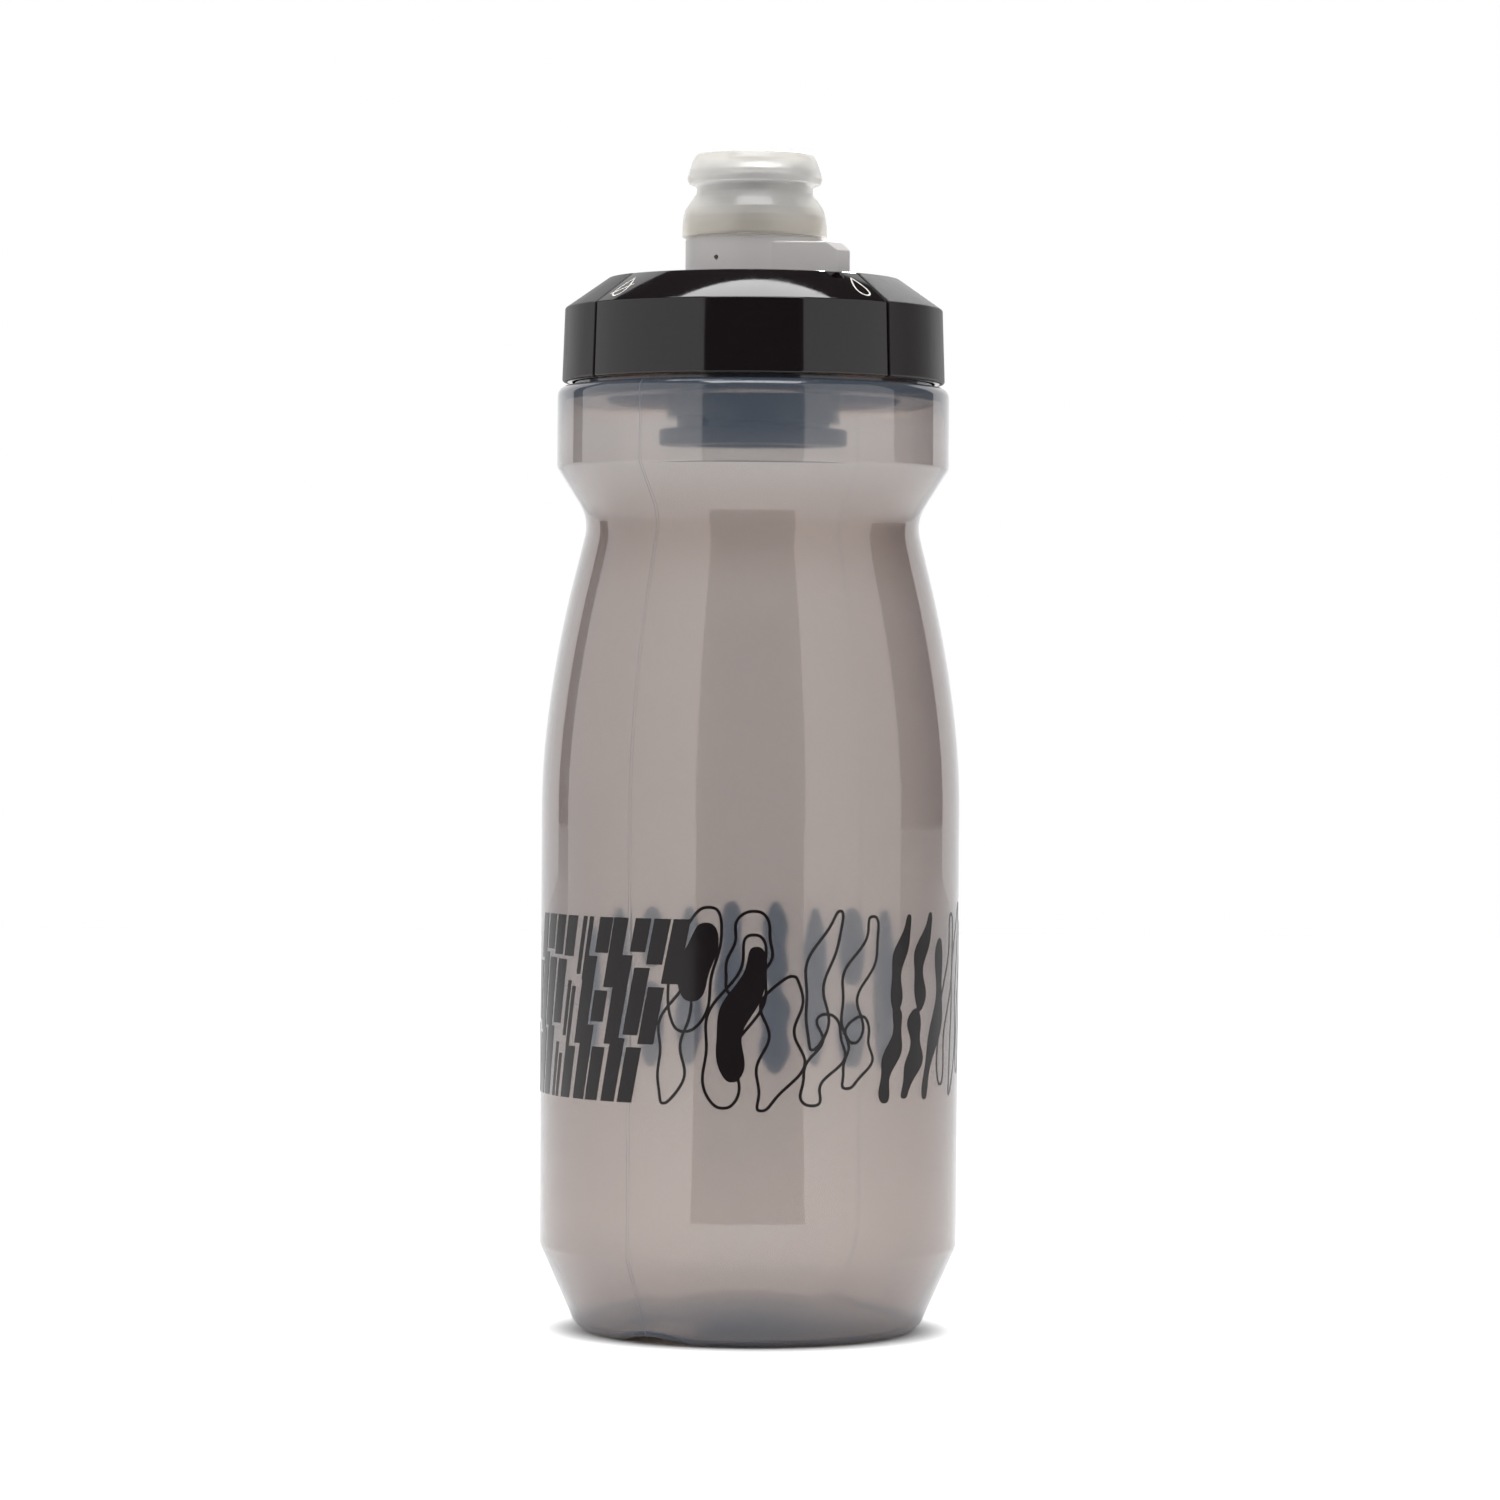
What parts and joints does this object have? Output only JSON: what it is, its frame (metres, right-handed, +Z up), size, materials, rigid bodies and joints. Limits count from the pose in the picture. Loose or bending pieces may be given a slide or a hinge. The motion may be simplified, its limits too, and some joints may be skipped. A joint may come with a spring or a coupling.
{
  "type": "water bottle",
  "caption": "Squeeze water bottle with a translucent waisted body, a screw cap with side grips, a turning lockout dial and a soft self-sealing bite valve.",
  "frame": {"origin": "centre of the base, on the plane of the ring that the bottle stands on", "axes": "+Z up the bottle's axis to the bite valve; -Y is the front, 6 degrees from the middle of the cap's glossy panel; the dial's lever points along +X when open"},
  "size_m": [0.0734, 0.0734, 0.2066],
  "materials": {
    "bottle": "smoke-tinted translucent squeeze polymer, satin, with a printed band",
    "cap": "glossy black moulding with small printed marks",
    "grip": "matte black side grips",
    "dial": "light grey satin moulding",
    "stem": "dark grey moulding",
    "valve": "milky translucent silicone",
    "seal": "plain silicone"
  },
  "bodies": {
    "bottle": {"bottle_body": "bottle"},
    "seal": {"cap_seal": "seal"},
    "cap": {"cap_shell": "cap", "cap_grip_left": "grip", "cap_grip_right": "grip", "shutter_seal": "seal"},
    "dial": {"dial_lever": "dial", "valve_stem": "stem", "spigot_o_ring": "seal", "stem_o_ring": "seal", "bite_valve": "valve"}
  },
  "joints": [
    {"name": "cap_rise", "type": "slide", "parent": "bottle", "child": "seal", "axis": [0, 0, 1], "range_m": [0, 0.02701]},
    {"name": "cap_unscrew", "type": "hinge", "parent": "seal", "child": "cap", "pos_m": [0, 0, 0.17], "axis": [0, 0, 1], "range_deg": [0, 1080]},
    {"name": "dial_turn", "type": "hinge", "parent": "cap", "child": "dial", "pos_m": [0, 0, 0.18], "axis": [0, 0, 1], "range_deg": [-93, 0]}
  ],
  "couplings": [
    {"joint": "cap_rise", "follows": "cap_unscrew", "m_per_rad": 0.0014324}
  ]
}
